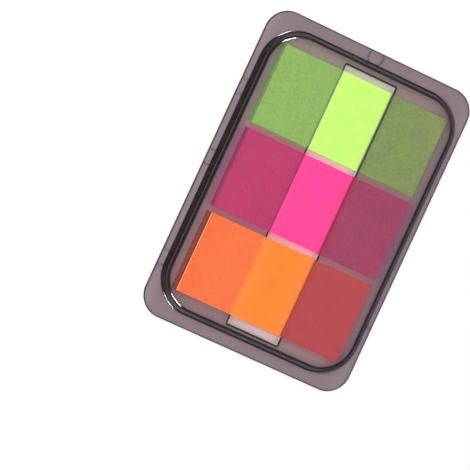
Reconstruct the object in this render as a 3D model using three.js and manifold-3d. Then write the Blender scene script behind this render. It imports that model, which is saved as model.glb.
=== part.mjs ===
// Sticky index tabs in a flat see-through dispenser.
// Three stacks of film tabs lie side by side on a flat back sheet. A thermoformed front shell is welded
// over them, and the tabs are drawn out to the left through one long window in it.
// Units are millimetres. X runs along a tab, Y from stack to stack and Z up out of the window.
// The origin is the middle of the case's footprint, on its underside.

import * as THREE from "three";
import { mergeVertices } from "three/addons/utils/BufferGeometryUtils.js";
import Module from "manifold-3d";

const wasm = await Module();
wasm.setup();

// Tabs
const tabLength = 44.5;
const tabWidth = 20;
const leafThickness = 0.1;
const leavesInPad = 20;
const leafStagger = 0.12;
const rowGap = 1.5;

// Case
const sheetThickness = 0.4;
const headroom = 0.6;
const sideRoom = 2.1;
const endRoom = 2.95;
const sideFlange = 1.6;
const endFlange = 2.9;
const caseCornerRadius = 5.8;

// Blister wall, as seen in a section of the front shell
const blisterCornerRadius = 9.7;
const wallDraft = THREE.MathUtils.degToRad(14);
const footRadius = 0.45;
const shoulderRadius = 1;

// Window, measured from the stacks
const windowWidth = 13.9;
const windowShift = -0.15;
const windowAboveTabs = 1.75;
const windowBelowTabs = 2.35;
const windowCornerRadius = 0.35;

// Where the stacks lie in the case. They are laid in by hand, so they don't quite line up.
const padShift = 0.35;
const laidOff = 0.1;

// Top tabs: how they leave the stack
const tabClearance = 0.2;
const liftRun = 1.2;
const curlLength = 7;
const curlLift = 0.45;

// Spot welds that hold the two sheets together on the flange
const weldDiameter = 3.8;
const weldDepth = 0.1;
const weldTopShift = 0.2;
const leftWelds = [18.2, 0, -25.8];
const rightWelds = [-23];

// Smoothness of the curves
const cornerSteps = 10;
const filletSteps = 4;
const liftSteps = 20;
const roundSteps = 28;

// Overshoot of a cutting solid past the face that it cuts
const cutMargin = 1;

// Heights above the ground
const backTop = sheetThickness;
const padHeight = (leavesInPad - 1) * leafThickness;
const padTop = backTop + padHeight;
const coverUnderside = padTop + leafThickness + headroom;
const coverTop = coverUnderside + sheetThickness;
const flangeTop = backTop + sheetThickness;

// The wall leans in by its draft between two fillets, so its run follows from its rise
const wallTurn = Math.PI / 2 - wallDraft;
const wallRise = coverTop - flangeTop;
const filletRise = (footRadius + shoulderRadius) * (1 - Math.cos(wallTurn));
const straightLength = (wallRise - filletRise) / Math.sin(wallTurn);
const wallRun = (footRadius + shoulderRadius) * Math.sin(wallTurn) + straightLength * Math.cos(wallTurn);

// Plan sizes, from the tabs outwards
const rowPitch = tabWidth + rowGap;
const stackSpan = 3 * tabWidth + 2 * rowGap;
const blisterWidth = tabLength + 2 * (sideRoom + wallRun);
const blisterLength = stackSpan + 2 * (endRoom + wallRun);
const caseWidth = blisterWidth + 2 * sideFlange;
const caseLength = blisterLength + 2 * endFlange;

const padLeft = padShift - tabLength / 2;
const padRight = padShift + tabLength / 2;
const windowLeft = padShift + windowShift - windowWidth / 2;
const windowRight = windowLeft + windowWidth;
const windowTop = stackSpan / 2 + windowAboveTabs;
const windowBottom = -stackSpan / 2 - windowBelowTabs;

const rows = [
  { name: "lime", x: -laidOff, y: rowPitch, colour: 0xc6fa5c, drawnOut: false },
  { name: "pink", x: laidOff, y: 0, colour: 0xff3fa6, drawnOut: false },
  { name: "orange", x: 0, y: -rowPitch, colour: 0xff8a36, drawnOut: true },
];

// Plan outline of a rectangle with round corners, counter-clockwise seen from above
function roundedRectangle(width, length, radius) {
  const points = [];
  const corners = [[1, 1], [-1, 1], [-1, -1], [1, -1]];
  corners.forEach(([signX, signY], quarter) => {
    const centreX = signX * (width / 2 - radius);
    const centreY = signY * (length / 2 - radius);
    for (let step = 0; step <= cornerSteps; step += 1) {
      const angle = (quarter + step / cornerSteps) * Math.PI / 2;
      points.push(new THREE.Vector2(centreX + radius * Math.cos(angle), centreY + radius * Math.sin(angle)));
    }
  });
  return points;
}

// Flat plate with a given outline, between two heights
function plate(outline, bottom, top) {
  const geometry = new THREE.ExtrudeGeometry(new THREE.Shape(outline), {
    depth: top - bottom,
    bevelEnabled: false,
  });
  return geometry.translate(0, 0, bottom);
}

// Closed solid through rings of equal point count, stacked from the lowest to the highest
function loft(rings) {
  const count = rings[0].length;
  const positions = [];
  const indices = [];
  rings.forEach((ring) => ring.forEach((point) => positions.push(point.x, point.y, point.z)));
  for (let level = 0; level < rings.length - 1; level += 1) {
    for (let i = 0; i < count; i += 1) {
      const a = level * count + i;
      const b = level * count + (i + 1) % count;
      indices.push(a, b, b + count, a, b + count, a + count);
    }
  }
  const lowest = rings[0][0].z;
  const highest = rings[rings.length - 1][0].z;
  const bottomCentre = rings.length * count;
  const topCentre = bottomCentre + 1;
  const topRing = (rings.length - 1) * count;
  positions.push(0, 0, lowest, 0, 0, highest);
  for (let i = 0; i < count; i += 1) {
    const next = (i + 1) % count;
    indices.push(bottomCentre, next, i);
    indices.push(topCentre, topRing + i, topRing + next);
  }
  const geometry = new THREE.BufferGeometry();
  geometry.setAttribute("position", new THREE.Float32BufferAttribute(positions, 3));
  geometry.setIndex(indices);
  return geometry;
}

// Solid of the blister, bounded by the shell's outer face (depth 0) or by its inner face (depth of one
// sheet). Both faces share the centres of the two fillets, so the sheet keeps its thickness.
function blister(depth, startHeight) {
  const section = [{ inset: 0, height: startHeight }];
  const footCentre = flangeTop + footRadius;
  const shoulderCentre = coverTop - shoulderRadius;
  for (let step = 0; step <= filletSteps; step += 1) {
    const turn = wallTurn * step / filletSteps;
    section.push({
      inset: (footRadius + depth) * Math.sin(turn),
      height: footCentre - (footRadius + depth) * Math.cos(turn),
    });
  }
  for (let step = filletSteps; step >= 0; step -= 1) {
    const turn = wallTurn * step / filletSteps;
    section.push({
      inset: wallRun - (shoulderRadius - depth) * Math.sin(turn),
      height: shoulderCentre + (shoulderRadius - depth) * Math.cos(turn),
    });
  }
  return loft(section.map(({ inset, height }) => roundedRectangle(
    blisterWidth - 2 * inset,
    blisterLength - 2 * inset,
    blisterCornerRadius - inset,
  ).map((point) => new THREE.Vector3(point.x, point.y, height))));
}

function toManifold(geometry) {
  const bare = geometry.clone();
  bare.deleteAttribute("normal");
  bare.deleteAttribute("uv");
  const merged = mergeVertices(bare);
  return new wasm.Manifold(new wasm.Mesh({
    numProp: 3,
    vertProperties: new Float32Array(merged.attributes.position.array),
    triVerts: new Uint32Array(merged.index.array),
  }));
}

function toGeometry(solid) {
  const mesh = solid.getMesh();
  const geometry = new THREE.BufferGeometry();
  geometry.setAttribute("position", new THREE.BufferAttribute(mesh.vertProperties, 3));
  geometry.setIndex(new THREE.BufferAttribute(mesh.triVerts, 1));
  const faceted = geometry.toNonIndexed();
  faceted.computeVertexNormals();
  return faceted;
}

function windowOpening() {
  const outline = roundedRectangle(windowWidth, windowTop - windowBottom, windowCornerRadius);
  return plate(outline, coverUnderside - cutMargin / 2, coverTop + cutMargin)
    .translate((windowLeft + windowRight) / 2, (windowTop + windowBottom) / 2, 0);
}

// Shallow round dents, pressed by the welding horn into the flange and stopped by the blister's foot
function weldDents() {
  const sideX = (caseWidth - sideFlange) / 2;
  const topY = (caseLength - endFlange) / 2;
  const centres = [
    [weldTopShift, topY],
    ...leftWelds.map((y) => [-sideX, y]),
    ...rightWelds.map((y) => [sideX, y]),
  ];
  const dents = centres.map(([x, y]) => {
    const dent = new THREE.CylinderGeometry(weldDiameter / 2, weldDiameter / 2, weldDepth + cutMargin, roundSteps);
    dent.rotateX(Math.PI / 2);
    dent.translate(x, y, flangeTop - weldDepth + (weldDepth + cutMargin) / 2);
    return toManifold(dent);
  });
  const foot = plate(
    roundedRectangle(blisterWidth, blisterLength, blisterCornerRadius),
    backTop,
    coverTop + cutMargin,
  );
  return dents.reduce((all, dent) => all.add(dent)).subtract(toManifold(foot));
}

function backSheet() {
  return plate(roundedRectangle(caseWidth, caseLength, caseCornerRadius), 0, backTop);
}

// One thermoformed sheet: flange, foot fillet, drafted wall, shoulder fillet and flat cover
function frontShell() {
  const flange = plate(roundedRectangle(caseWidth, caseLength, caseCornerRadius), backTop, flangeTop);
  const shell = toManifold(flange)
    .add(toManifold(blister(0, backTop)))
    .subtract(toManifold(blister(sheetThickness, backTop - cutMargin)))
    .subtract(toManifold(windowOpening()))
    .subtract(weldDents());
  return toGeometry(shell);
}

// Section in X and Z, run along Y over the width of a tab
function acrossTab(section) {
  const geometry = new THREE.ExtrudeGeometry(new THREE.Shape(section), {
    depth: tabWidth,
    bevelEnabled: false,
  });
  return geometry.rotateX(Math.PI / 2).translate(0, tabWidth / 2, 0);
}

// Zigzag stack: the leaves are stuck at their right and left ends in turn, and each one stands out a
// little at its free end, so both ends of the stack are stepped from leaf to leaf
function pad() {
  const leaves = leavesInPad - 1;
  const rightEnd = [];
  const leftEnd = [];
  for (let leaf = 0; leaf < leaves; leaf += 1) {
    const bottom = backTop + leaf * leafThickness;
    const top = leaf === leaves - 1 ? padTop : bottom + leafThickness;
    const freeOnRight = leaf % 2;
    const right = padRight - leafStagger * (1 - freeOnRight);
    const left = padLeft + leafStagger * freeOnRight;
    rightEnd.push(new THREE.Vector2(right, bottom), new THREE.Vector2(right, top));
    leftEnd.unshift(new THREE.Vector2(left, top), new THREE.Vector2(left, bottom));
  }
  return acrossTab([...rightEnd, ...leftEnd]);
}

// Height of a top tab's underside over its length. It lies on the stack at the right, climbs between the
// two edges of the window and runs level to its free left end, where a drawn-out tab curls up.
function tabUnderside(x, freeLevel, endLift) {
  const start = windowRight - liftRun;
  const end = windowLeft + liftRun;
  const climb = THREE.MathUtils.smoothstep(start - x, 0, start - end);
  const curl = Math.max(0, padLeft + curlLength - x) / curlLength;
  return THREE.MathUtils.lerp(padTop, freeLevel, climb) + endLift * curl ** 2;
}

function topTab(drawnOut) {
  const freeLevel = drawnOut ? coverTop : coverUnderside - tabClearance - leafThickness;
  const endLift = drawnOut ? curlLift : 0;
  const start = windowRight - liftRun;
  const end = windowLeft + liftRun;
  const stations = [padRight];
  for (let step = 0; step <= liftSteps; step += 1) {
    stations.push(THREE.MathUtils.lerp(start, end, step / liftSteps));
  }
  for (let step = 0; step <= liftSteps; step += 1) {
    stations.push(padLeft + curlLength * (1 - step / liftSteps));
  }
  const underside = stations.map((x) => new THREE.Vector2(x, tabUnderside(x, freeLevel, endLift)));
  const upperSide = underside.map((point) => new THREE.Vector2(point.x, point.y + leafThickness));
  return acrossTab([...upperSide, ...underside.reverse()]);
}

function plastic(colour, roughness) {
  return new THREE.MeshStandardMaterial({ color: colour, roughness, metalness: 0 });
}

function smokedPlastic() {
  const material = plastic(0x8d7f87, 0.3);
  material.transparent = true;
  material.opacity = 0.45;
  return material;
}

function piece(name, geometry, material) {
  const mesh = new THREE.Mesh(geometry, material);
  mesh.name = name;
  return mesh;
}

const dispenser = new THREE.Group();
dispenser.add(piece("back_sheet", backSheet(), plastic(0xe0d6d9, 0.5)));
dispenser.add(piece("front_shell", frontShell(), smokedPlastic()));
rows.forEach(({ name, x, y, colour, drawnOut }) => {
  const row = new THREE.Group();
  row.position.set(x, y, 0);
  row.add(piece(`pad_${name}`, pad(), plastic(colour, 0.6)));
  row.add(piece(`tab_${name}_top`, topTab(drawnOut), plastic(colour, 0.6)));
  dispenser.add(row);
});

export default dispenser;
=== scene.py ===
# Looks of a flat see-through dispenser of sticky index tabs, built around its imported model.
# Lengths are millimetres, and make_piece turns them into metres, except for the stage and the lamps,
# which are in metres.

import math

import bpy
import numpy as np
from mathutils import Matrix, Vector


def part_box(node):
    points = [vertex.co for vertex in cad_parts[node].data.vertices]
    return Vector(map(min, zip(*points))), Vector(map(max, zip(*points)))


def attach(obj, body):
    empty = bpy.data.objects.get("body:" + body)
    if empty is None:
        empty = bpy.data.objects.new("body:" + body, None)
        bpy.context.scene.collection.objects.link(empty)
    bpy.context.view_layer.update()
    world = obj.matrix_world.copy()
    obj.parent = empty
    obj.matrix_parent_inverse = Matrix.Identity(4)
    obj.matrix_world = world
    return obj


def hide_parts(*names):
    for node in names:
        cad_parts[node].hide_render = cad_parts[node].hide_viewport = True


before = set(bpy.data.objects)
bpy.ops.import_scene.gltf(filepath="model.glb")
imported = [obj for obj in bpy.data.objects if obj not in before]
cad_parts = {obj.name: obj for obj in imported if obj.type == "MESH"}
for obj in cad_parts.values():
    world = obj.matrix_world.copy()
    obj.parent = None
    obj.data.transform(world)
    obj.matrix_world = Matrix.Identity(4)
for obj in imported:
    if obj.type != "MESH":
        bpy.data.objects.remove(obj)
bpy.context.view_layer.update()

MM = 0.001
BODY = "root"


def box_mm(node):
    low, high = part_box(node)
    return low / MM, high / MM


# Places and heights that the imported model gives
CASE_LOW, CASE_HIGH = box_mm("back_sheet")
CASE_WIDTH = CASE_HIGH.x - CASE_LOW.x
CASE_LENGTH = CASE_HIGH.y - CASE_LOW.y
BACK_TOP = CASE_HIGH.z
COVER_TOP = box_mm("front_shell")[1].z

# Sheet and blister, with the values of the part's source
SHEET = 0.4
CASE_RADIUS = 5.8
BLISTER_RADIUS = 9.7
SIDE_FLANGE = 1.6
END_FLANGE = 2.9
DRAFT = 14
FOOT_RADIUS = 0.45
SHOULDER_RADIUS = 1.0
WALL_TURN = math.radians(90 - DRAFT)
FLANGE_TOP = BACK_TOP + SHEET
COVER_UNDERSIDE = COVER_TOP - SHEET
BLISTER_WIDTH = CASE_WIDTH - 2 * SIDE_FLANGE
BLISTER_LENGTH = CASE_LENGTH - 2 * END_FLANGE
FILLET_RISE = (FOOT_RADIUS + SHOULDER_RADIUS) * (1 - math.cos(WALL_TURN))
STRAIGHT = (COVER_TOP - FLANGE_TOP - FILLET_RISE) / math.sin(WALL_TURN)
WALL_RUN = (FOOT_RADIUS + SHOULDER_RADIUS) * math.sin(WALL_TURN) + STRAIGHT * math.cos(WALL_TURN)
CASE_OUTLINE = (CASE_WIDTH, CASE_LENGTH, CASE_RADIUS)
BLISTER_OUTLINE = (BLISTER_WIDTH, BLISTER_LENGTH, BLISTER_RADIUS)

# Window, with the values of the part's source
WINDOW_LEFT, WINDOW_RIGHT = -6.75, 7.15
WINDOW_BOTTOM, WINDOW_TOP = -33.85, 33.25
WINDOW_RADIUS = 0.35
WINDOW_CENTRE = ((WINDOW_LEFT + WINDOW_RIGHT) / 2, (WINDOW_BOTTOM + WINDOW_TOP) / 2)

# Spacing of the points along a ring, and the steps of its round corners and of a fillet
RING_PITCH = 0.36
CORNER_STEPS = 32
FILLET_STEPS = 8

# Rings of the two sheets: shares of the way over the flange and the cover, and insets on the back sheet
FLANGE_SHARES = (0.0, 0.15, 0.35, 0.55, 0.7, 0.8, 0.87, 0.92, 0.96, 1.0)
COVER_SHARES = (0.03, 0.1, 0.25, 0.45, 0.65, 0.85, 1.0)
UNDERSIDE_SHARES = (1.0, 0.75, 0.5, 0.25, 0.1, 0.03)
BACK_INSETS = (12.0, 4.0, 0.4)

# Small rounds along the cut edges, and the hair of air between the two sheets
FRONT_EDGE_ROUND = 0.07
BACK_EDGE_ROUND = 0.08
WINDOW_EDGE_ROUND = 0.05
SHEET_GAP = 0.01

# Tabs
ROWS = ("lime", "pink", "orange")
ROW_SPANS = [(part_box("pad_" + row)[0].y / MM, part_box("pad_" + row)[1].y / MM) for row in ROWS]
LEAF = 0.1
LIFT_RUN = 1.2
CURL_LENGTH = 7.0
CURL_LIFT = 0.45
TAB_CLEARANCE = 0.2
TAB_STEPS = 180
TAB_EDGE_ROUND = 0.02

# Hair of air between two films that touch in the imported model
FILM_GAP = 0.015

# Leaves of a stack: how far their free ends stand back, and how far chance moves them
LEAF_STAGGER = 0.12
LEAF_SPREAD = 0.05
LEAF_GAP = 0.002
LEAF_EDGE_ROUND = 0.012
LEAF_SEED = 7

# Left end of a top tab: the painted shadow at its cut end, how much of it shows under the cover, and the
# painted highlight along the drawn-out end
END_SHADOW_WIDTH = 0.24
END_SHADOW_FADE = 0.06
END_SHADOW_SHARE_UNDER_COVER = 0.55
END_HIGHLIGHT_REACH = 0.5
END_HIGHLIGHT_FADE = 0.05

# Spot welds on the flange
WELD_RADIUS = 1.9
WELD_DEPTH = 0.1
WELD_SOFTNESS = 0.3
WELD_RIM_WIDTH = 0.16
SIDE_MIDDLE = (CASE_WIDTH - SIDE_FLANGE) / 2
END_MIDDLE = (CASE_LENGTH - END_FLANGE) / 2
WELDS = (
    (0.2, END_MIDDLE),
    (-SIDE_MIDDLE, 18.2),
    (-SIDE_MIDDLE, 0.0),
    (-SIDE_MIDDLE, -25.8),
    (SIDE_MIDDLE, -23.0),
)

# The sheet looks dark where it is steep, from the first turn up to the second: partly its own smoke seen
# on the slant, partly painted shade for the dark that the wall shows
STEEP_START = math.radians(1)
STEEP_FULL = math.radians(20)

# Dark line along the cut edges, partly the cut's own dark and partly painted shadow on the sheet beside
# it: its widths, and its share at the case's edge
CASE_LINE = 0.18
WINDOW_LINE = 0.24
WINDOW_CUT = 0.2
CASE_LINE_SHARE = 0.9

# Painted highlight along the lip under the window's edge: its reach, and how much of it shows over each
# tab
WINDOW_LIP = 0.4
LIP_HIGHLIGHT_SHARES = (0.8, 0.15, 0.15)

# Window's left edge, within the zone: how dark it stays over a tab, whose painted light lifts the dark
# line there
LIT_ZONE = 0.2
LIT_EDGE = 0.3

# Window's right edge: the zone where the dark line takes painted light in the colour of the tab under it
TAB_LIGHT_ZONE = 0.5

# Painted shade: a darker strip of the flange beside the foot of the wall, on its right: its share and its
# reach
FOOT_SHADE = 0.9
FOOT_REACH = 0.6


def smoothstep(value):
    value = min(1.0, max(0.0, value))
    return value * value * (3 - 2 * value)


def steepness(turn):
    """Share of the dark wall look where the sheet has turned this far from level."""
    return smoothstep((turn - STEEP_START) / (STEEP_FULL - STEEP_START))


# Meshes


def make_piece(name, points, faces, replaced, attributes=None, smooth=True):
    """A mesh piece from points in millimetres, riding on the one body and standing for its node."""
    mesh = bpy.data.meshes.new(name)
    mesh.from_pydata([tuple(c * MM for c in p) for p in points], [], faces)
    for label, values in (attributes or {}).items():
        layer = mesh.attributes.new(label, "FLOAT", "POINT")
        layer.data.foreach_set("value", np.asarray(values, dtype=np.float32))
    mesh.polygons.foreach_set("use_smooth", [smooth] * len(mesh.polygons))
    mesh.update()
    piece = bpy.data.objects.new(name, mesh)
    bpy.context.scene.collection.objects.link(piece)
    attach(piece, BODY)
    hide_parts(replaced)
    return piece


def point_between(first, second, share):
    return (first[0] + (second[0] - first[0]) * share, first[1] + (second[1] - first[1]) * share)


def ring_between(first, second, share):
    """The ring that lies this share of the way from the first ring to the second."""
    return [point_between(a, b, share) for a, b in zip(first, second)]


def rounded_ring(width, length, radius, centre=(0.0, 0.0)):
    """Points of a rectangle with round corners, anticlockwise from above, also spaced along its sides.
    Every ring gets the same count, because the side counts come from the case's own outline."""
    side_steps = (round(CASE_LENGTH / RING_PITCH), round(CASE_WIDTH / RING_PITCH))
    arcs = []
    for quarter, (sign_x, sign_y) in enumerate(((1, 1), (-1, 1), (-1, -1), (1, -1))):
        middle = (centre[0] + sign_x * (width / 2 - radius), centre[1] + sign_y * (length / 2 - radius))
        arc = []
        for step in range(CORNER_STEPS + 1):
            angle = (quarter + step / CORNER_STEPS) * math.pi / 2
            arc.append((middle[0] + radius * math.cos(angle), middle[1] + radius * math.sin(angle)))
        arcs.append(arc)
    points = []
    for quarter, arc in enumerate(arcs):
        points.extend(arc)
        next_start = arcs[(quarter + 1) % 4][0]
        steps = side_steps[(quarter + 1) % 2]
        for step in range(1, steps):
            points.append(point_between(arc[-1], next_start, step / steps))
    return points


def inset_ring(width, length, radius, inset):
    return rounded_ring(width - 2 * inset, length - 2 * inset, max(0.02, radius - inset))


def join_rings(count, here, there):
    """Faces between two rings of this many points, given the index of each ring's first point."""
    faces = []
    for i in range(count):
        j = (i + 1) % count
        faces.append((here + i, here + j, there + j, there + i))
    return faces


def weld_depth(x, y):
    """Depth of the round weld dents at a point of the flange, with a soft rim."""
    depth = 0.0
    for weld_x, weld_y in WELDS:
        away = math.hypot(x - weld_x, y - weld_y)
        depth = max(depth, WELD_DEPTH * smoothstep((WELD_RADIUS - away) / WELD_SOFTNESS + 0.5))
    return depth


def weld_rim(x, y):
    """How much a point lies on the rim of a weld, from 0 to 1."""
    rim = 0.0
    for weld_x, weld_y in WELDS:
        away = math.hypot(x - weld_x, y - weld_y)
        rim = max(rim, math.exp(-((away - WELD_RADIUS) / WELD_RIM_WIDTH) ** 2))
    return rim


def lip_highlight_share(y):
    """How strong the painted highlight on the lip under the window's edge shows: full off the tabs, and
    less over them.
    """
    for (low, high), share in zip(ROW_SPANS, LIP_HIGHLIGHT_SHARES):
        if low < y < high:
            return share
    return 1.0


def foot_shade(x, y):
    """How much painted shade the flange takes close beside the blister's foot, on its right side."""
    across = max(0.0, abs(x) - BLISTER_WIDTH / 2 + BLISTER_RADIUS)
    along = max(0.0, abs(y) - BLISTER_LENGTH / 2 + BLISTER_RADIUS)
    nearness = smoothstep(1 - (math.hypot(across, along) - BLISTER_RADIUS) / FOOT_REACH)
    right = smoothstep((x - BLISTER_WIDTH / 2 + BLISTER_RADIUS) / BLISTER_RADIUS)
    return FOOT_SHADE * nearness * right


def tab_light_on_edge_shares(x, y):
    """Shares of the lime, pink and orange tabs in the painted light that tints the window's right edge at
    a point.
    """
    if abs(x - WINDOW_RIGHT) > TAB_LIGHT_ZONE:
        return (0.0, 0.0, 0.0)
    return tuple(1.0 if low < y < high else 0.0 for low, high in ROW_SPANS)


def lit_edge(x, y):
    """How dark the window's edge stays: its left side is lit up by painted light where a bright tab lies
    under it.
    """
    if x > WINDOW_LEFT + LIT_ZONE:
        return 1.0
    over_tab = any(low < y < high for low, high in ROW_SPANS)
    return LIT_EDGE if over_tab else 1.0


def shell_rings():
    """Closed run of rings round the sheet's section: cut edge, flange, wall, cover, window, and back
    underneath. Each is (points, height, shares), with the shares that its material reads by name."""
    rings = []
    turns = [WALL_TURN * step / FILLET_STEPS for step in range(FILLET_STEPS + 1)]

    def add(points, height, **shares):
        rings.append((points, height, shares))

    def case_ring(inset):
        return inset_ring(*CASE_OUTLINE, inset)

    def blister_ring(inset):
        return inset_ring(*BLISTER_OUTLINE, inset)

    def window_ring(grow):
        width = WINDOW_RIGHT - WINDOW_LEFT + 2 * grow
        length = WINDOW_TOP - WINDOW_BOTTOM + 2 * grow
        return rounded_ring(width, length, WINDOW_RADIUS + grow, WINDOW_CENTRE)

    # Outer cut edge, upwards, with a small round at the top
    add(case_ring(0.03), BACK_TOP + SHEET_GAP, cut=1)
    add(case_ring(0.0), BACK_TOP + 0.05, cut=1)
    add(case_ring(0.0), FLANGE_TOP - FRONT_EDGE_ROUND, cut=1)
    for step in range(1, 4):
        turn = step / 3 * math.pi / 2
        inset = FRONT_EDGE_ROUND * (1 - math.cos(turn))
        add(case_ring(inset), FLANGE_TOP - FRONT_EDGE_ROUND * (1 - math.sin(turn)), cut=1)
    add(case_ring(CASE_LINE), FLANGE_TOP, cut=CASE_LINE_SHARE)

    # Flange, from the cut edge to the blister's foot
    outer = case_ring(CASE_LINE + 0.08)
    foot = blister_ring(0.0)
    for share in FLANGE_SHARES:
        add(ring_between(outer, foot, share), FLANGE_TOP, flange=1)

    # Foot fillet, wall, shoulder
    for turn in turns[1:]:
        height = FLANGE_TOP + FOOT_RADIUS * (1 - math.cos(turn))
        add(blister_ring(FOOT_RADIUS * math.sin(turn)), height, wall=steepness(turn))
    for turn in reversed(turns):
        height = COVER_TOP - SHOULDER_RADIUS * (1 - math.cos(turn))
        add(blister_ring(WALL_RUN - SHOULDER_RADIUS * math.sin(turn)), height, wall=steepness(turn))

    # Cover, out to the window
    rim = blister_ring(WALL_RUN)
    collar = window_ring(WINDOW_LINE + 0.04)
    for share in COVER_SHARES:
        add(ring_between(rim, collar, share), COVER_TOP)

    # Window's cut edge, downwards, with the painted highlight of the lip on its lower half
    small = WINDOW_EDGE_ROUND
    middle = (COVER_TOP + COVER_UNDERSIDE) / 2
    add(window_ring(WINDOW_LINE), COVER_TOP, cut=1)
    add(window_ring(small), COVER_TOP, cut=1)
    add(window_ring(small * 0.3), COVER_TOP - small * 0.3, cut=1)
    add(window_ring(0.0), COVER_TOP - small, cut=1)
    add(window_ring(-WINDOW_CUT), middle, cut=1)
    add(window_ring(-WINDOW_CUT - 0.02), middle - 0.03, pale=1)
    add(window_ring(-WINDOW_LIP), COVER_UNDERSIDE + small, pale=1)
    add(window_ring(-WINDOW_LIP * 0.7), COVER_UNDERSIDE, pale=1)

    # Underside of the cover
    add(window_ring(small), COVER_UNDERSIDE)
    for share in UNDERSIDE_SHARES:
        add(ring_between(rim, collar, share), COVER_UNDERSIDE)

    # Inner face of shoulder, wall and foot, downwards
    inner_shoulder = SHOULDER_RADIUS - SHEET
    for turn in turns:
        height = COVER_TOP - SHOULDER_RADIUS + inner_shoulder * math.cos(turn)
        add(blister_ring(WALL_RUN - inner_shoulder * math.sin(turn)), height, wall=steepness(turn))
    inner_foot = FOOT_RADIUS + SHEET
    for turn in reversed(turns[1:]):
        height = max(FLANGE_TOP + FOOT_RADIUS - inner_foot * math.cos(turn), BACK_TOP + SHEET_GAP)
        add(blister_ring(inner_foot * math.sin(turn)), height, wall=steepness(turn))

    # Underside of the flange
    add(foot, BACK_TOP + SHEET_GAP)
    add(case_ring(0.3), BACK_TOP + SHEET_GAP)
    add(case_ring(CASE_LINE), BACK_TOP + SHEET_GAP)
    return rings


def make_front():
    """Front sheet of the case. Its points carry the shares that its material reads."""
    points = []
    tab_light_labels = ["lit_by_" + row for row in ROWS]
    shares = {label: [] for label in ["wall", "cut", "pale", "flange", "weld_rim"] + tab_light_labels}
    rings = shell_rings()
    for ring, height, ring_shares in rings:
        on_flange = "flange" in ring_shares
        for x, y in ring:
            points.append((x, y, height - weld_depth(x, y) if on_flange else height))
            own = dict(ring_shares)
            if on_flange:
                # On the flange, the wall share carries the painted shade beside the blister's foot
                own.update(wall=foot_shade(x, y), weld_rim=weld_rim(x, y))
            if height > FLANGE_TOP:
                own["cut"] = own.get("cut", 0.0) * lit_edge(x, y)
                own["pale"] = own.get("pale", 0.0) * lip_highlight_share(y)
            own.update(zip(tab_light_labels, tab_light_on_edge_shares(x, y)))
            for label, values in shares.items():
                values.append(own.get(label, 0.0))
    count = len(rings[0][0])
    faces = []
    for level in range(len(rings)):
        faces += join_rings(count, level * count, (level + 1) % len(rings) * count)
    return make_piece("case_front", points, faces, "front_shell", shares)


def make_back():
    """Back sheet of the case, flat, with a small round along its edges."""
    edge = BACK_EDGE_ROUND
    turns = [step / 3 * math.pi / 2 for step in range(4)]
    levels = [(inset, 0.0) for inset in BACK_INSETS]
    levels += [(edge * (1 - math.sin(turn)), edge * (1 - math.cos(turn))) for turn in turns]
    levels += [(edge * (1 - math.cos(turn)), BACK_TOP - edge * (1 - math.sin(turn))) for turn in turns]
    levels += [(inset, BACK_TOP) for inset in reversed(BACK_INSETS)]
    points = []
    for inset, height in levels:
        points.extend((x, y, height) for x, y in inset_ring(*CASE_OUTLINE, inset))
    count = len(points) // len(levels)
    faces = []
    for level in range(len(levels) - 1):
        faces += join_rings(count, level * count, (level + 1) * count)
    bottom = len(points)
    points.append((0.0, 0.0, 0.0))
    top = len(points)
    points.append((0.0, 0.0, BACK_TOP))
    last = (len(levels) - 1) * count
    for i in range(count):
        j = (i + 1) % count
        faces.append((bottom, j, i))
        faces.append((top, last + i, last + j))
    return make_piece("case_back", points, faces, "back_sheet")


def add_slab(points, faces, stations, low_y, high_y, thickness, round_edge=TAB_EDGE_ROUND):
    """Adds a thin film that runs over the stations (x, height of its underside), from low_y to high_y."""
    loops = []
    for x, height in stations:
        top = height + thickness
        loops.append([
            (x, low_y + round_edge, height),
            (x, low_y, height + round_edge),
            (x, low_y, top - round_edge),
            (x, low_y + round_edge, top),
            (x, high_y - round_edge, top),
            (x, high_y, top - round_edge),
            (x, high_y, height + round_edge),
            (x, high_y - round_edge, height),
        ])
    base = len(points)
    count = len(loops[0])
    for loop in loops:
        points.extend(loop)
    for level in range(len(loops) - 1):
        here = base + level * count
        for i in range(count):
            j = (i + 1) % count
            faces.append((here + i, here + count + i, here + count + j, here + j))
    faces.append(tuple(base + i for i in range(count)))
    last = base + (len(loops) - 1) * count
    faces.append(tuple(last + i for i in reversed(range(count))))


def make_stack(row):
    """The stack under the top tab: thin leaves, free at their left and right ends in turn."""
    low, high = box_mm("pad_" + row)
    leaves = round((high.z - low.z) / LEAF)
    generator = np.random.default_rng(LEAF_SEED + ROWS.index(row))
    points = []
    faces = []
    for leaf in range(leaves):
        free_on_right = leaf % 2
        right = high.x - LEAF_STAGGER * (1 - free_on_right) - generator.uniform(0, LEAF_SPREAD)
        left = low.x + LEAF_STAGGER * free_on_right + generator.uniform(0, LEAF_SPREAD)
        side = generator.uniform(0, LEAF_SPREAD)
        bottom = low.z + leaf * LEAF + LEAF_GAP
        stations = [(left, bottom), (right, bottom)]
        span = (low.y + side, high.y - LEAF_SPREAD + side)
        add_slab(points, faces, stations, *span, LEAF - 2 * LEAF_GAP, LEAF_EDGE_ROUND)
    return make_piece("stack_" + row, points, faces, "pad_" + row, smooth=False)


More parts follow.
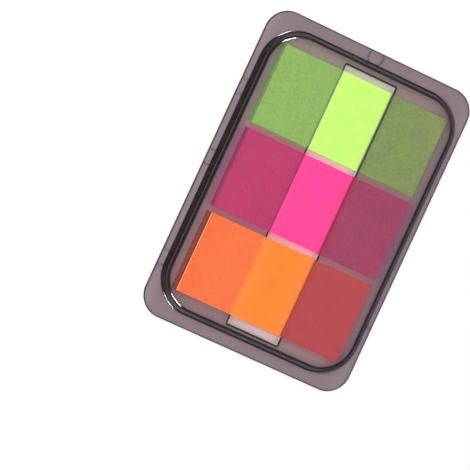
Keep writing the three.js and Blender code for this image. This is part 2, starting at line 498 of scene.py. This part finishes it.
def make_top_tab(row):
    """The top tab of a stack: it climbs off the stack under the window. The orange one is drawn out
    through it, lies on the cover and curls up at its free end."""
    low, high = box_mm(f"tab_{row}_top")
    drawn_out = row == "orange"
    free_level = COVER_TOP if drawn_out else COVER_UNDERSIDE - TAB_CLEARANCE - LEAF
    climb_start = WINDOW_RIGHT - LIFT_RUN
    climb_end = WINDOW_LEFT + LIFT_RUN
    highlight_fade_end = low.x + END_HIGHLIGHT_REACH + END_HIGHLIGHT_FADE
    shadow_fade_end = low.x + END_SHADOW_WIDTH + END_SHADOW_FADE
    places = [high.x + (low.x - high.x) * step / TAB_STEPS for step in range(TAB_STEPS)]
    places = [x for x in places if x > highlight_fade_end]
    places += [highlight_fade_end, low.x + END_HIGHLIGHT_REACH, shadow_fade_end, low.x + END_SHADOW_WIDTH, low.x]
    stations = []
    for x in places:
        climb = smoothstep((climb_start - x) / (climb_start - climb_end))
        curl = max(0.0, low.x + CURL_LENGTH - x) / CURL_LENGTH
        height = low.z + (free_level - low.z) * climb
        height += (CURL_LIFT if drawn_out else 0.0) * curl ** 2
        stations.append((x, height + FILM_GAP))
    points = []
    faces = []
    add_slab(points, faces, stations[::-1], low.y, high.y, LEAF - 2 * FILM_GAP)
    end_shadow_share = 1.0 if drawn_out else END_SHADOW_SHARE_UNDER_COVER
    # Painted shadow at the left end of each top tab, and a painted highlight along the drawn-out one
    attributes = {
        "shadowed_end": [end_shadow_share * smoothstep((shadow_fade_end - x) / END_SHADOW_FADE) for x, y, z in points],
        "end_highlight": [drawn_out * smoothstep((highlight_fade_end - x) / END_HIGHLIGHT_FADE) for x, y, z in points],
    }
    name = "top_tab_" + row
    return make_piece(name, points, faces, f"tab_{row}_top", attributes, smooth=False)


# Materials


def new_material(name):
    material = bpy.data.materials.new(name)
    material.use_nodes = True
    tree = material.node_tree
    tree.nodes.clear()
    return material, tree


def set_input(tree, socket, value):
    if isinstance(value, bpy.types.NodeSocket):
        tree.links.new(value, socket)
    else:
        socket.default_value = value


def add_node(tree, kind, inputs=None, **settings):
    node = tree.nodes.new(kind)
    for key, value in settings.items():
        setattr(node, key, value)
    for key, value in (inputs or {}).items():
        set_input(tree, node.inputs[key], value)
    return node


def opaque(colour):
    """A red, green and blue triple with full alpha. What comes from a node passes as it is."""
    return tuple(colour) + (1.0,) if isinstance(colour, tuple) else colour


def mix_colour(tree, factor, first, second, blend="MIX"):
    inputs = {0: factor, 6: opaque(first), 7: opaque(second)}
    return add_node(tree, "ShaderNodeMix", inputs, data_type="RGBA", blend_type=blend).outputs[2]


def mix_number(tree, factor, first, second):
    return add_node(tree, "ShaderNodeMix", {0: factor, 2: first, 3: second}, data_type="FLOAT").outputs[0]


def calculate(tree, operation, *values, **settings):
    inputs = dict(enumerate(values))
    return add_node(tree, "ShaderNodeMath", inputs, operation=operation, **settings).outputs[0]


def ramp(tree, value, start, end, at_start, at_end, **settings):
    """Runs from one number at the start to the other at the end, and stays level past both."""
    inputs = {0: value, 1: start, 2: end, 3: at_start, 4: at_end}
    return add_node(tree, "ShaderNodeMapRange", inputs, **settings).outputs[0]


def attribute(tree, name):
    """The share of this name that the mesh carries at its points."""
    return add_node(tree, "ShaderNodeAttribute", attribute_name=name).outputs["Fac"]


def object_place(tree):
    return add_node(tree, "ShaderNodeTexCoord").outputs["Object"]


def components(tree, vector):
    return add_node(tree, "ShaderNodeSeparateXYZ", {0: vector}).outputs


def true_normal(tree):
    return components(tree, add_node(tree, "ShaderNodeNewGeometry").outputs["True Normal"])


def noise(tree, place, scale, detail):
    inputs = {"Vector": place, "Scale": scale, "Detail": detail}
    return add_node(tree, "ShaderNodeTexNoise", inputs).outputs[0]


def surface_bump(tree, scale, strength, distance, stretch=(1.0, 1.0, 1.0)):
    """Fine moulded grain as a bump normal, in the piece's own coordinates."""
    mapping = add_node(tree, "ShaderNodeMapping", {"Vector": object_place(tree), "Scale": stretch})
    grain = noise(tree, mapping.outputs[0], scale, 4.0)
    inputs = {"Strength": strength, "Distance": distance, "Height": grain}
    return add_node(tree, "ShaderNodeBump", inputs).outputs[0]


def finish_material(tree, surface):
    add_node(tree, "ShaderNodeOutputMaterial", {"Surface": surface.outputs[0]})


# Smoked sheet: linear colours of its see-through body, its haze, the wall and the cut (both partly painted
# shade), the painted highlight on the window's lip, and the tabs' painted light on the window's edge
SMOKE_TINT = (0.97, 0.935, 0.885)
WALL_TINT = (0.55, 0.48, 0.46)
SMOKE_HAZE = (0.12, 0.085, 0.19)
HAZE_MOTTLE = 1.25
FLANGE_HAZE = (0.10, 0.115, 0.275)
# Painted light: the brighter haze of the side flanges
SIDE_FLANGE_PAINTED_LIGHT = (0.27, 0.26, 0.42)
WALL_DARK_AND_SHADE_COLOUR = (0.008, 0.003, 0.004)
CUT_COLOUR = (0.004, 0.002, 0.003)
# Painted highlight on the lip under the window's edge
LIP_HIGHLIGHT_COLOUR = (0.85, 0.80, 0.80)
# Painted light that each tab throws onto the dark line at the window's right edge
TAB_LIGHT_ON_EDGE = {"lime": (0.03, 0.06, 0.006), "pink": (0.42, 0.003, 0.035), "orange": (0.50, 0.05, 0.006)}

# Its opacities, and the share of a weld's dark rim
SMOKE_OPACITY = 0.22
FLANGE_OPACITY = 0.3
WALL_OPACITY = 0.78
RIM_SHARE = 0.6

# Its roughness where it is flat, steep and cut
FLAT_ROUGHNESS = 0.3
WALL_ROUGHNESS = 0.13
CUT_ROUGHNESS = 0.6

# Painted light on the side flanges, as a brighter haze: where it fades off, and its share on the right
SIDE_LIGHT_FADE = 2.0
RIGHT_SIDE_LIGHT_SHARE = 0.55

# The wall's coat weakens between these shares of the blister's width, down to its share on the right
COAT_FADE = (0.35, 0.45)
RIGHT_COAT_SHARE = 0.15


def smoked_colour(tree, place, x):
    """Colour of the skin: haze, brighter on the side flanges with painted light, darker on the wall and at
    the cut edges with what is partly painted shade, and a painted highlight on the window's lip.
    """
    # Painted light on the side flanges, as a brighter haze towards each side
    side = BLISTER_WIDTH / 2
    on_left = ramp(tree, x, -side * MM, (SIDE_LIGHT_FADE - side) * MM, 1.0, 0.0)
    on_right = ramp(tree, x, (side - SIDE_LIGHT_FADE) * MM, side * MM, 0.0, RIGHT_SIDE_LIGHT_SHARE)
    on_side = calculate(tree, "MAXIMUM", on_left, on_right)
    flange_haze_and_light = mix_colour(tree, on_side, FLANGE_HAZE, SIDE_FLANGE_PAINTED_LIGHT)
    thick_haze = tuple(part * HAZE_MOTTLE for part in SMOKE_HAZE)
    colour = mix_colour(tree, noise(tree, place, 110.0, 3.0), SMOKE_HAZE, thick_haze)
    colour = mix_colour(tree, attribute(tree, "flange"), colour, flange_haze_and_light)
    colour = mix_colour(tree, attribute(tree, "wall"), colour, WALL_DARK_AND_SHADE_COLOUR)
    # Dark cut line, partly painted shadow, tinted with painted light from the tab under the window's right
    # edge
    edge = CUT_COLOUR
    for row in ROWS:
        edge = mix_colour(tree, attribute(tree, "lit_by_" + row), edge, TAB_LIGHT_ON_EDGE[row])
    colour = mix_colour(tree, attribute(tree, "cut"), colour, edge)
    colour = mix_colour(tree, attribute(tree, "weld_rim"), colour, CUT_COLOUR)
    return mix_colour(tree, attribute(tree, "pale"), colour, LIP_HIGHLIGHT_COLOUR)


def smoked_opacity(tree):
    opacity = mix_number(tree, attribute(tree, "flange"), SMOKE_OPACITY, FLANGE_OPACITY)
    opacity = mix_number(tree, attribute(tree, "wall"), opacity, WALL_OPACITY)
    opacity = mix_number(tree, attribute(tree, "cut"), opacity, 1.0)
    opacity = mix_number(tree, attribute(tree, "pale"), opacity, 1.0)
    rim = calculate(tree, "MULTIPLY", attribute(tree, "weld_rim"), RIM_SHARE)
    return mix_number(tree, rim, opacity, 1.0)


def smoked_plastic():
    """Smoked sheet: a tinted see-through body under a satin skin, dark where the wall is steep and where
    the sheet is cut, a darkness that is partly painted shade."""
    material, tree = new_material("smoked_plastic")
    place = object_place(tree)
    x = components(tree, place)[0]
    wall = attribute(tree, "wall")
    coat_start, coat_end = (share * BLISTER_WIDTH * MM for share in COAT_FADE)
    coat_side = ramp(tree, x, coat_start, coat_end, 1.0, RIGHT_COAT_SHARE)
    roughness = mix_number(tree, wall, FLAT_ROUGHNESS, WALL_ROUGHNESS)
    roughness = mix_number(tree, attribute(tree, "cut"), roughness, CUT_ROUGHNESS)
    skin = add_node(
        tree, "ShaderNodeBsdfPrincipled",
        {
            "Base Color": smoked_colour(tree, place, x),
            "Roughness": roughness,
            "IOR": 1.45,
            "Specular IOR Level": 0.3,
            "Normal": surface_bump(tree, 900.0, 0.12, 0.00005),
            "Coat Weight": calculate(tree, "MULTIPLY", wall, coat_side),
            "Coat Roughness": 0.06,
            "Coat IOR": 1.6,
        },
    )
    tint = mix_colour(tree, wall, SMOKE_TINT, WALL_TINT)
    clear = add_node(tree, "ShaderNodeBsdfTransparent", {"Color": tint})
    inputs = {0: smoked_opacity(tree), 1: clear.outputs[0], 2: skin.outputs[0]}
    finish_material(tree, add_node(tree, "ShaderNodeMixShader", inputs))
    return material


# Back sheet: the two colours of its faint mottle, and the painted bounce light in each stack's colour
# beside it
SHEET_COLOURS = ((0.93, 0.76, 0.80), (0.88, 0.72, 0.76))
PAINTED_STACK_BOUNCE = {"lime": (1.0, 1.06, 0.86), "pink": (1.06, 0.58, 0.90), "orange": (1.06, 0.88, 0.86)}

# How far inside a stack's edge its painted bounce light starts to fade, how far outside it ends, and how
# far it stays from the foot of the wall
BOUNCE_INSIDE = 1.0
BOUNCE_OUTSIDE = 1.5
BOUNCE_MARGIN = 0.3


def white_plastic():
    """Off-white sheet. Its upper face takes painted bounce light inside the blister from the stacks that
    stand on it.
    """
    material, tree = new_material("white_plastic")
    place = object_place(tree)
    x, y, z = components(tree, place)
    colour = mix_colour(tree, noise(tree, place, 60.0, 3.0), *SHEET_COLOURS)
    side = BLISTER_WIDTH / 2
    sideways = calculate(tree, "ABSOLUTE", x)
    inside = ramp(tree, sideways, (side - WALL_RUN) * MM, (side - BOUNCE_MARGIN) * MM, 1.0, 0.0)
    upper_face = calculate(tree, "MULTIPLY", true_normal(tree)[2], inside)
    # Painted bounce light from each stack on the sheet beside it
    for row, (low, high) in zip(ROWS, ROW_SPANS):
        half = (high - low) / 2
        offset = calculate(tree, "SUBTRACT", y, (low + high) / 2 * MM)
        away = calculate(tree, "ABSOLUTE", offset)
        near = ramp(tree, away, (half - BOUNCE_INSIDE) * MM, (half + BOUNCE_OUTSIDE) * MM, 1.0, 0.0)
        share = calculate(tree, "MULTIPLY", near, upper_face, use_clamp=True)
        bounce_lit = mix_colour(tree, 1.0, colour, PAINTED_STACK_BOUNCE[row], "MULTIPLY")
        colour = mix_colour(tree, share, colour, bounce_lit)
    normal = surface_bump(tree, 1500.0, 0.1, 0.00004)
    inputs = {"Base Color": colour, "Roughness": 0.45, "Normal": normal}
    finish_material(tree, add_node(tree, "ShaderNodeBsdfPrincipled", inputs))
    return material


# Linear colours of the films: the pigment, the painted glow that stands in for its fluorescence, the same
# with painted shade past the window, where the film lies deeper under the cover, the pigment over the
# cover, the painted shadow at the cut end, and how dark the grain's lows are
FILMS = {
    "lime": {
        "pigment": (0.52, 0.95, 0.084), "glow": (0.14, 0.36, 0.08),
        "shaded_pigment": (0.48, 0.84, 0.12), "shaded_glow": (0.07, 0.10, 0.03),
        "shadowed_end": (0.10, 0.20, 0.02), "shade": 0.84,
    },
    "pink": {
        "pigment": (0.90, 0.02, 0.28), "glow": (0.35, 0.012, 0.06),
        "shaded_pigment": (0.85, 0.05, 0.23), "shaded_glow": (0.10, 0.02, 0.02),
        "shadowed_end": (0.20, 0.004, 0.05), "shade": 0.84,
    },
    "orange": {
        "pigment": (0.90, 0.205, 0.01), "glow": (0.20, 0.05, 0.0),
        "shaded_pigment": (0.84, 0.10, 0.04), "shaded_glow": (0.28, 0.015, 0.01),
        "over_cover": (0.82, 0.108, 0.026),
        "shadowed_end": (0.06, 0.001, 0.001), "shade": 0.93,
    },
}
# Painted highlight along the left end of the drawn-out tab
END_HIGHLIGHT_COLOUR = (0.84, 0.32, 0.16)
BLACK = (0.0, 0.0, 0.0)

# Spans of x over which the films' painted shade starts past the window, and over which the orange tab
# leaves the cover
FILM_SHADE_FADE = (6.6, 7.6)
COVER_FADE = (WINDOW_LEFT - 0.4, WINDOW_LEFT + 0.1)

# The grain: two noises, how much of the second, the span that it is read over, and its highs
GRAIN_SCALES = (260.0, 1500.0)
GRAIN_SHARE = 0.6
GRAIN_SPAN = (0.40, 0.60)
GRAIN_HIGH = 1.06

# Painted shade: a film's ends and underside are dimmer than its face, the more they face that way over the
# span
END_SHADE = 0.45
END_SPAN = (0.4, 0.8)


def film_grain(tree, place, low):
    """Grey that the pigment is multiplied with, from the low shade to the high one."""
    broad = noise(tree, place, GRAIN_SCALES[0], 5.0)
    fine = noise(tree, place, GRAIN_SCALES[1], 2.0)
    shade = ramp(tree, mix_number(tree, GRAIN_SHARE, broad, fine), *GRAIN_SPAN, low, GRAIN_HIGH)
    return add_node(tree, "ShaderNodeCombineXYZ", {0: shade, 1: shade, 2: shade}).outputs[0]


def film(row):
    """Fluorescent matt film: a strong pigment and an even glow, painted light that stands in for its real
    fluorescence.
    """
    material, tree = new_material(row + "_film")
    tone = FILMS[row]
    place = object_place(tree)
    x = components(tree, place)[0]
    # Painted shade on the part past the window, which lies deeper under the cover
    shade_start, shade_end = (edge * MM for edge in FILM_SHADE_FADE)
    in_shade = ramp(tree, x, shade_start, shade_end, 0.0, 1.0, interpolation_type="SMOOTHSTEP")
    pigment = mix_colour(tree, in_shade, tone["pigment"], tone["shaded_pigment"])
    if "over_cover" in tone:
        cover_start, cover_end = (edge * MM for edge in COVER_FADE)
        outside = ramp(tree, x, cover_start, cover_end, 1.0, 0.0)
        pigment = mix_colour(tree, outside, pigment, tone["over_cover"])
    pigment = mix_colour(tree, 1.0, pigment, film_grain(tree, place, tone["shade"]), "MULTIPLY")
    glow = mix_colour(tree, in_shade, tone["glow"], tone["shaded_glow"])

    # Painted shade on the ends and underside
    facing = true_normal(tree)
    lengthwise = calculate(tree, "ABSOLUTE", facing[0])
    downward = calculate(tree, "MULTIPLY", facing[2], -1.0)
    hidden = calculate(tree, "MAXIMUM", lengthwise, downward)
    end_shade_share = ramp(tree, hidden, *END_SPAN, 0.0, 1.0)
    end_shaded = add_node(tree, "ShaderNodeVectorMath", {0: pigment, 3: END_SHADE}, operation="SCALE")
    pigment = mix_colour(tree, end_shade_share, pigment, end_shaded.outputs[0])
    glow = mix_colour(tree, end_shade_share, glow, BLACK)

    # Painted highlight and painted shadow at the left end
    shadowed_end = attribute(tree, "shadowed_end")
    pigment = mix_colour(tree, attribute(tree, "end_highlight"), pigment, END_HIGHLIGHT_COLOUR)
    pigment = mix_colour(tree, shadowed_end, pigment, tone["shadowed_end"])
    glow = mix_colour(tree, shadowed_end, glow, BLACK)

    skin = add_node(
        tree, "ShaderNodeBsdfPrincipled",
        {
            "Base Color": pigment,
            "Roughness": 0.55,
            "Specular IOR Level": 0.3,
            "Emission Color": glow,
            "Emission Strength": 1.0,
            "Normal": surface_bump(tree, 2100.0, 0.7, 0.00006, stretch=(1.0, 0.45, 1.0)),
        },
    )
    finish_material(tree, skin)
    return material


# Stage, in metres

FLOOR_SIZE = 3.0
FLOOR_DROP = 0.00005
FLOOR_COLOUR = (0.97, 0.97, 0.97, 1.0)
WORLD_LEVEL = 0.3

# Brightens the floor for the eye alone, so that it shows white
FLOOR_LIFT = 0.16


def make_floor():
    size = FLOOR_SIZE
    mesh = bpy.data.meshes.new("floor")
    corners = [(-size, -size), (size, -size), (size, size), (-size, size)]
    mesh.from_pydata([(x, y, -FLOOR_DROP) for x, y in corners], [], [(0, 1, 2, 3)])
    floor = bpy.data.objects.new("floor", mesh)
    bpy.context.scene.collection.objects.link(floor)
    material, tree = new_material("floor")
    diffuse = add_node(tree, "ShaderNodeBsdfDiffuse", {"Color": FLOOR_COLOUR})
    path = add_node(tree, "ShaderNodeLightPath").outputs
    seen = path["Is Camera Ray"]
    for ray in ("Is Glossy Ray", "Is Transmission Ray"):
        seen = calculate(tree, "MAXIMUM", seen, path[ray])
    lift = calculate(tree, "MULTIPLY", seen, FLOOR_LIFT)
    glow = add_node(tree, "ShaderNodeEmission", {"Strength": lift})
    both = add_node(tree, "ShaderNodeAddShader", {0: diffuse.outputs[0], 1: glow.outputs[0]})
    finish_material(tree, both)
    mesh.materials.append(material)


def make_world(level):
    world = bpy.data.worlds.new("studio")
    bpy.context.scene.world = world
    world.use_nodes = True
    background = world.node_tree.nodes["Background"]
    background.inputs[0].default_value = (1.0, 1.0, 1.0, 1.0)
    background.inputs[1].default_value = level


def area_light(name, place, size, power, diffuse=True, glossy=True):
    """A rectangle of light that faces the object. It can light without a gloss, or gloss alone."""
    light = bpy.data.lights.new(name, "AREA")
    light.shape = "RECTANGLE"
    light.size, light.size_y = size
    light.energy = power
    lamp = bpy.data.objects.new(name, light)
    back = Vector(place).normalized()
    level = Vector((1.0, 0.0, 0.0))
    side = (level - back * back.dot(level)).normalized()
    axes = Matrix((side, back.cross(side), back)).transposed()
    lamp.matrix_world = Matrix.Translation(place) @ axes.to_4x4()
    lamp.visible_diffuse = diffuse
    lamp.visible_glossy = glossy
    bpy.context.scene.collection.objects.link(lamp)


# Camera, in the photograph's place
CAMERA_PLACE = Vector((-313.03, -9.74, 918.63))
CAMERA_LOOK = Vector((0.31063, -0.00454, -0.95052))
CAMERA_UP = Vector((-0.39703, 0.90796, -0.13409))
CAMERA_LENS = 315.4


def make_camera():
    camera = bpy.data.cameras.new("camera")
    camera.sensor_width = 36.0
    camera.lens = CAMERA_LENS
    camera.clip_start = 0.01
    camera.clip_end = 20.0
    holder = bpy.data.objects.new("camera", camera)
    back = -CAMERA_LOOK.normalized()
    right = CAMERA_UP.cross(back).normalized()
    up = back.cross(right)
    turn = Matrix((right, up, back)).transposed()
    holder.matrix_world = Matrix.Translation(CAMERA_PLACE * MM) @ turn.to_4x4()
    bpy.context.scene.collection.objects.link(holder)
    bpy.context.scene.camera = holder


front = make_front()
front.data.materials.append(smoked_plastic())
back = make_back()
back.data.materials.append(white_plastic())
for row in ROWS:
    material = film(row)
    make_stack(row).data.materials.append(material)
    make_top_tab(row).data.materials.append(material)

make_floor()
make_world(WORLD_LEVEL)
area_light("overhead", (-0.35, 0.0, 0.95), (0.9, 0.9), 7.2, glossy=False)
area_light("key", (0.8, 0.35, 0.75), (0.5, 0.5), 1.6)
area_light("glint_lime_end", (-0.16, 0.54, 0.78), (0.34, 0.08), 14.0, diffuse=False)
area_light("glint_orange_end", (-0.06, -0.61, 0.75), (0.34, 0.08), 15.0, diffuse=False)
make_camera()
bpy.context.scene.view_settings.view_transform = "Standard"
